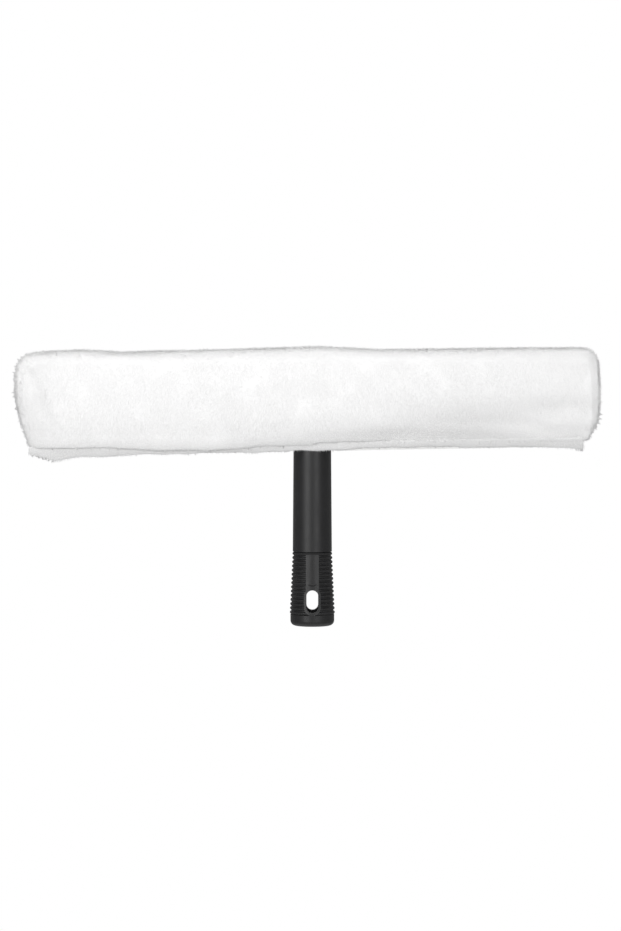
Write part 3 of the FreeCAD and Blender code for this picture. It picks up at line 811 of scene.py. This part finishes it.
hem = strip("hem_band", (-216, -17.6, -HEM_HIGH), (206.5, -15.1, 0), 1.1, 170)
p = points_of(hem.data)
x = p[:, 0].copy()
hem_x = (-216, -211, -202, -195, -189, -179, -133, -87, -25, 21, 68, 99, 145, 191, 199, 203, 207)
hem_deep = (3.0, 5.6, 7.8, 10.8, 8.6, 7.3, 6.2, 5.7, 5.6, 5.0, 3.6, 4.3, 5.0, 5.9, 7.4, 8.4, 8.6)
deep = np.interp(x, hem_x, hem_deep)
for _ in range(3):
    deep = 0.5 * deep + 0.25 * (np.interp(x - 2.5, hem_x, hem_deep) + np.interp(x + 2.5, hem_x, hem_deep))
# hang runs from 0 at the upper edge to 1 at the lower one.
hang = -p[:, 2] / HEM_HIGH
p[:, 2] = HEM_TUCK - hang * (HEM_TUCK + deep + 0.35 * np.sin(x / 9.0) + 0.25 * np.sin(x / 3.7 + 1.0))
pucker = ramp(x, 130, 160) * np.sin(x / 5.1 + 2.5 * hang) + 0.5 * np.sin(x / 13.0 + 1.5 * hang)
proud = ramp(-p[:, 1], 15.2, 17.4)
p[:, 1] -= 0.45 * pucker * hill(hang, 0.6, 0.5)
tucked = ramp(-hang, -0.4, -0.1) * (ramp(-x, -80, -20) - 0.25 * ramp(x, 60, 110))
p[:, 1] += proud * (0.3 * ramp(x, 20, 110) + 1.2 * ramp(hang, 0.4, 1.0) + tucked)
# Painted shade: the hem faces down under the fold, and it greys most at its lower edge.
write_attribute(hem.data, "painted_shade", "FLOAT", 0.83 - 0.09 * hang)
set_points(hem.data, p)
round_hem = hem.modifiers.new("round_cloth", "SUBSURF")
round_hem.levels = round_hem.render_levels = 1
settle(hem)
hem.data.transform(ON_FOLD)
hem.data.materials.append(fleece_ground)
hem.data.polygons.foreach_set("use_smooth", [True] * len(hem.data.polygons))
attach(hem, "sleeve")
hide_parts("front_hem")
print("hem:", len(hem.data.polygons), "faces")

# %% Short pile on the hem
n = points_of(hem.data, "normal")
facing = ramp(-n[:, 1], -0.1, 0.3) + ramp(-n[:, 2], 0.3, 0.7)
p = points_of(hem.data)
tips = hill(p[:, 0], -197, 9) + hill(p[:, 0], 203, 6)
lay = np.tile((0.3, 0.0, -0.9), (len(p), 1))
comb(hem.data, np.clip(facing, 0, 1), 0.6 + 0.5 * np.minimum(tips, 1), lay, 1.2)
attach(sow(hem, "pile_hem", 1.0, 31), "sleeve")
tips = np.maximum(ramp(-p[:, 0], 192, 200), ramp(p[:, 0], 200, 204)) * ramp(-n[:, 2], 0.0, 0.5)
lay = np.stack([0.5 * np.sign(p[:, 0]), 0 * tips, 0 * tips - 0.6], axis=1)
comb(hem.data, tips, np.full(len(p), 1.1), lay, 1.4)
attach(sow(hem, "hem_locks", 2.4, 37, thick=2.6), "sleeve")

# %% [markdown]
# ## The closing flaps
# Under the sleeve two flaps fold forward from the back, one on each side of the handle, and stick to the hem.
# Each is a piece of the same cloth with a thick turned edge at the front, which carries the hook tape. A grid
# gets its thickness, its front strip is pulled down into that edge, and a few soft waves keep it from lying
# dead flat. The knitted side looks into the pocket, and short pile covers the outside.


# %% Flaps
FLAP_FROM, FLAP_TO = 15.9, 204.0
FLAP_DEEP = 30.4
FLAP_MIDDLE = 2.9
FLAP_THICK = 2.3
EDGE_FROM = -9.5
EDGE_DROP = 3.0


def pull_down(bm, faces, drop):
    """Extrudes faces straight down, by drop in mm."""
    made = bmesh.ops.extrude_face_region(bm, geom=faces)
    lower = [v for v in made["geom"] if isinstance(v, bmesh.types.BMVert)]
    bmesh.ops.translate(bm, verts=lower, vec=(0, 0, -drop * MM))


def flap(side, sign):
    """One closing flap with its pile, on the left or the right."""
    near, far = sorted((sign * FLAP_FROM, sign * FLAP_TO))
    bm = bmesh.new()
    bmesh.ops.create_grid(bm, x_segments=64, y_segments=14, size=0.5)
    bmesh.ops.scale(bm, verts=bm.verts, vec=((far - near) * MM, FLAP_DEEP * MM, 1))
    bmesh.ops.translate(bm, verts=bm.verts, vec=((near + far) / 2 * MM, FLAP_MIDDLE * MM, -0.5 * MM))
    pull_down(bm, list(bm.faces), FLAP_THICK)
    bmesh.ops.recalc_face_normals(bm, faces=bm.faces)
    edge = [f for f in bm.faces if f.normal.z < -0.9 and f.calc_center_median().y < EDGE_FROM * MM]
    pull_down(bm, edge, EDGE_DROP)
    bmesh.ops.delete(bm, geom=edge, context="FACES")
    bmesh.ops.recalc_face_normals(bm, faces=bm.faces)
    in_order(bm)
    piece = new_piece(f"{side}_flap_cloth", bm)
    soft = piece.modifiers.new("round_cloth", "SUBSURF")
    soft.levels = soft.render_levels = 1
    settle(piece)
    p = points_of(piece.data)
    p[:, 2] += 0.35 * np.sin(p[:, 0] / 13 + sign) * np.sin(p[:, 1] / 9 + 0.6) * hill(p[:, 1], 4, 11)
    set_points(piece.data, p)
    piece.data.transform(ON_FOLD)
    piece.data.materials.append(fleece_ground)
    piece.data.materials.append(knit_back)
    for face in piece.data.polygons:
        face.material_index = int(face.normal.z > 0.5)
        face.use_smooth = True
    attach(piece, f"{side}_closure")
    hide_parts(f"{side}_flap")
    n, p = points_of(piece.data, "normal"), points_of(piece.data)
    write_attribute(piece.data, "painted_shade", "FLOAT", np.ones(len(p)))
    share = ramp(-n[:, 2], 0.3, 0.7) * ramp(p[:, 1], EDGE_FROM, EDGE_FROM + 2)
    comb(piece.data, share, np.full(len(p), 0.8), np.tile((0.2, -0.9, 0.0), (len(p), 1)), 1.2)
    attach(sow(piece, f"pile_{side}_flap", 1.0, 41), f"{side}_closure")
    return piece


for side, sign in (("left", -1), ("right", 1)):
    print(flap(side, sign).name, "done")

# %% [markdown]
# ## Hook and loop tapes
# The flaps close with hook and loop tape: a woven ribbon with soft loops behind the hem, and one with stiff
# little hooks on the flap's edge. A printed pattern would do from afar, but when a flap hangs open its tape
# faces the eye. One loop and one hook are spun from a three-sided thread, and arrays repeat them in rows. Two
# rows of stitches, short threads that lie half sunk in the ribbon, sew it on.


# %% Tape finishes
def tape_finish(name, dark, light, rough):
    """A woven nylon ribbon: fine threads both ways, with the tone of the threads between two colours."""
    made, net, where, shader = finish(name)
    weave = combine(net, "MAXIMUM", waves(net, where, 330.0, "X", 0.6), waves(net, where, 420.0, "Z", 0.6))
    feed(net, shader, {"Base Color": blend(net, weave, dark, light), "Normal": relief(net, weave, 0.5, 0.15),
                       "Roughness": rough})
    return made


loop_nylon = tape_finish("loop_nylon", (0.74, 0.74, 0.73, 1), (0.87, 0.87, 0.86, 1), 0.85)
hook_nylon = tape_finish("hook_nylon", (0.70, 0.70, 0.69, 1), (0.82, 0.82, 0.81, 1), 0.45)
print("finishes:", loop_nylon.name, hook_nylon.name)


# %% Tapes
TAPE_FROM, TAPE_TO = 23.5, 196.4
TAPE_LOW, TAPE_HIGH = -5.7, -0.9
TAPE_THICK = 0.45
THREAD = 0.09
LOOP_STEP = 1.25
STITCH_STEP = 2.6
STITCH_THICK = 0.14
CLEAR_ENDS = 1.2
QUARTER_Y = Matrix.Rotation(math.radians(90), 3, "Y")
QUARTER_Z = Matrix.Rotation(math.radians(90), 3, "Z")


def thread_arc(bm, middle, reach, turn, steps):
    """Spins a three-sided thread in the YZ plane: reach from middle, in mm, through turn degrees."""
    made = bmesh.ops.create_circle(bm, segments=3, radius=THREAD * MM)
    for quarter in (QUARTER_Y, QUARTER_Z):
        bmesh.ops.rotate(bm, verts=made["verts"], cent=(0, 0, 0), matrix=quarter)
    start = Vector((0, middle[0], middle[1] - reach)) * MM
    bmesh.ops.translate(bm, verts=made["verts"], vec=start)
    ring = made["verts"] + [e for e in bm.edges if all(v in made["verts"] for v in e.verts)]
    bmesh.ops.spin(bm, geom=ring, cent=Vector((0, *middle)) * MM, axis=(1, 0, 0), angle=math.radians(turn),
                   steps=steps, use_merge=False)


def repeated(bm, one, along, up):
    """Adds rows of one small shape to bm. along and up each give a step in mm and a count."""
    in_order(one)
    rows = new_piece("rows", one)
    for axis, (gap, count) in ((0, along), (2, up)):
        copies = rows.modifiers.new("rows", "ARRAY")
        copies.use_relative_offset = False
        copies.use_constant_offset = True
        copies.constant_offset_displace = [gap * MM * (i == axis) for i in range(3)]
        copies.count = count
    settle(rows)
    bm.from_mesh(rows.data)
    bpy.data.objects.remove(rows)


def tape(name, side, sign, ground, out, kind, finish_made, body):
    """A stitched ribbon at y = ground in mm. Its loops or hooks stand along y, up or down it by out."""
    near, far = sorted((sign * TAPE_FROM, sign * TAPE_TO))
    room = far - near - CLEAR_ENDS
    low_y, high_y = sorted((ground, ground + TAPE_THICK * out))
    ribbon = strip(name, (near, low_y, TAPE_LOW), (far, high_y, TAPE_HIGH), 0.1, 40)
    bm = bmesh.new()
    bm.from_mesh(ribbon.data)
    one = bmesh.new()
    if kind == "loop":
        thread_arc(one, (0.05 * out, 0.0), 0.42, -180 * out, 4)
    else:
        thread_arc(one, (0.32 * out, 0.0), 0.24, -230 * out, 5)
    bmesh.ops.recalc_face_normals(one, faces=one.faces)
    corner = Vector((near + 0.8, ground + TAPE_THICK * out, -4.5))
    bmesh.ops.translate(one, verts=one.verts, vec=corner * MM)
    repeated(bm, one, (LOOP_STEP, int(room / LOOP_STEP)), (0.8, 4))
    one = bmesh.new()
    bmesh.ops.create_cone(one, segments=5, radius1=STITCH_THICK * MM, radius2=STITCH_THICK * MM,
                          depth=2.0 * MM, cap_ends=True)
    bmesh.ops.rotate(one, verts=one.verts, cent=(0, 0, 0), matrix=QUARTER_Y)
    corner = Vector((near + 1.6, ground + 0.47 * out, -5.45))
    bmesh.ops.translate(one, verts=one.verts, vec=corner * MM)
    repeated(bm, one, (STITCH_STEP, int(room / STITCH_STEP)), (4.3, 2))
    bm.to_mesh(ribbon.data)
    bm.free()
    ribbon.data.transform(ON_FOLD)
    ribbon.data.materials.append(finish_made)
    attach(ribbon, body)
    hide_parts(f"{side}_{kind}_tape")
    return ribbon


for side, sign in (("left", -1), ("right", 1)):
    made = tape(f"{side}_loop_ribbon", side, sign, -14.95, 1, "loop", loop_nylon, "sleeve")
    print(made.name, len(made.data.polygons), "faces")
    made = tape(f"{side}_hook_ribbon", side, sign, -12.45, -1, "hook", hook_nylon,
                f"{side}_closure")
    print(made.name, len(made.data.polygons), "faces")
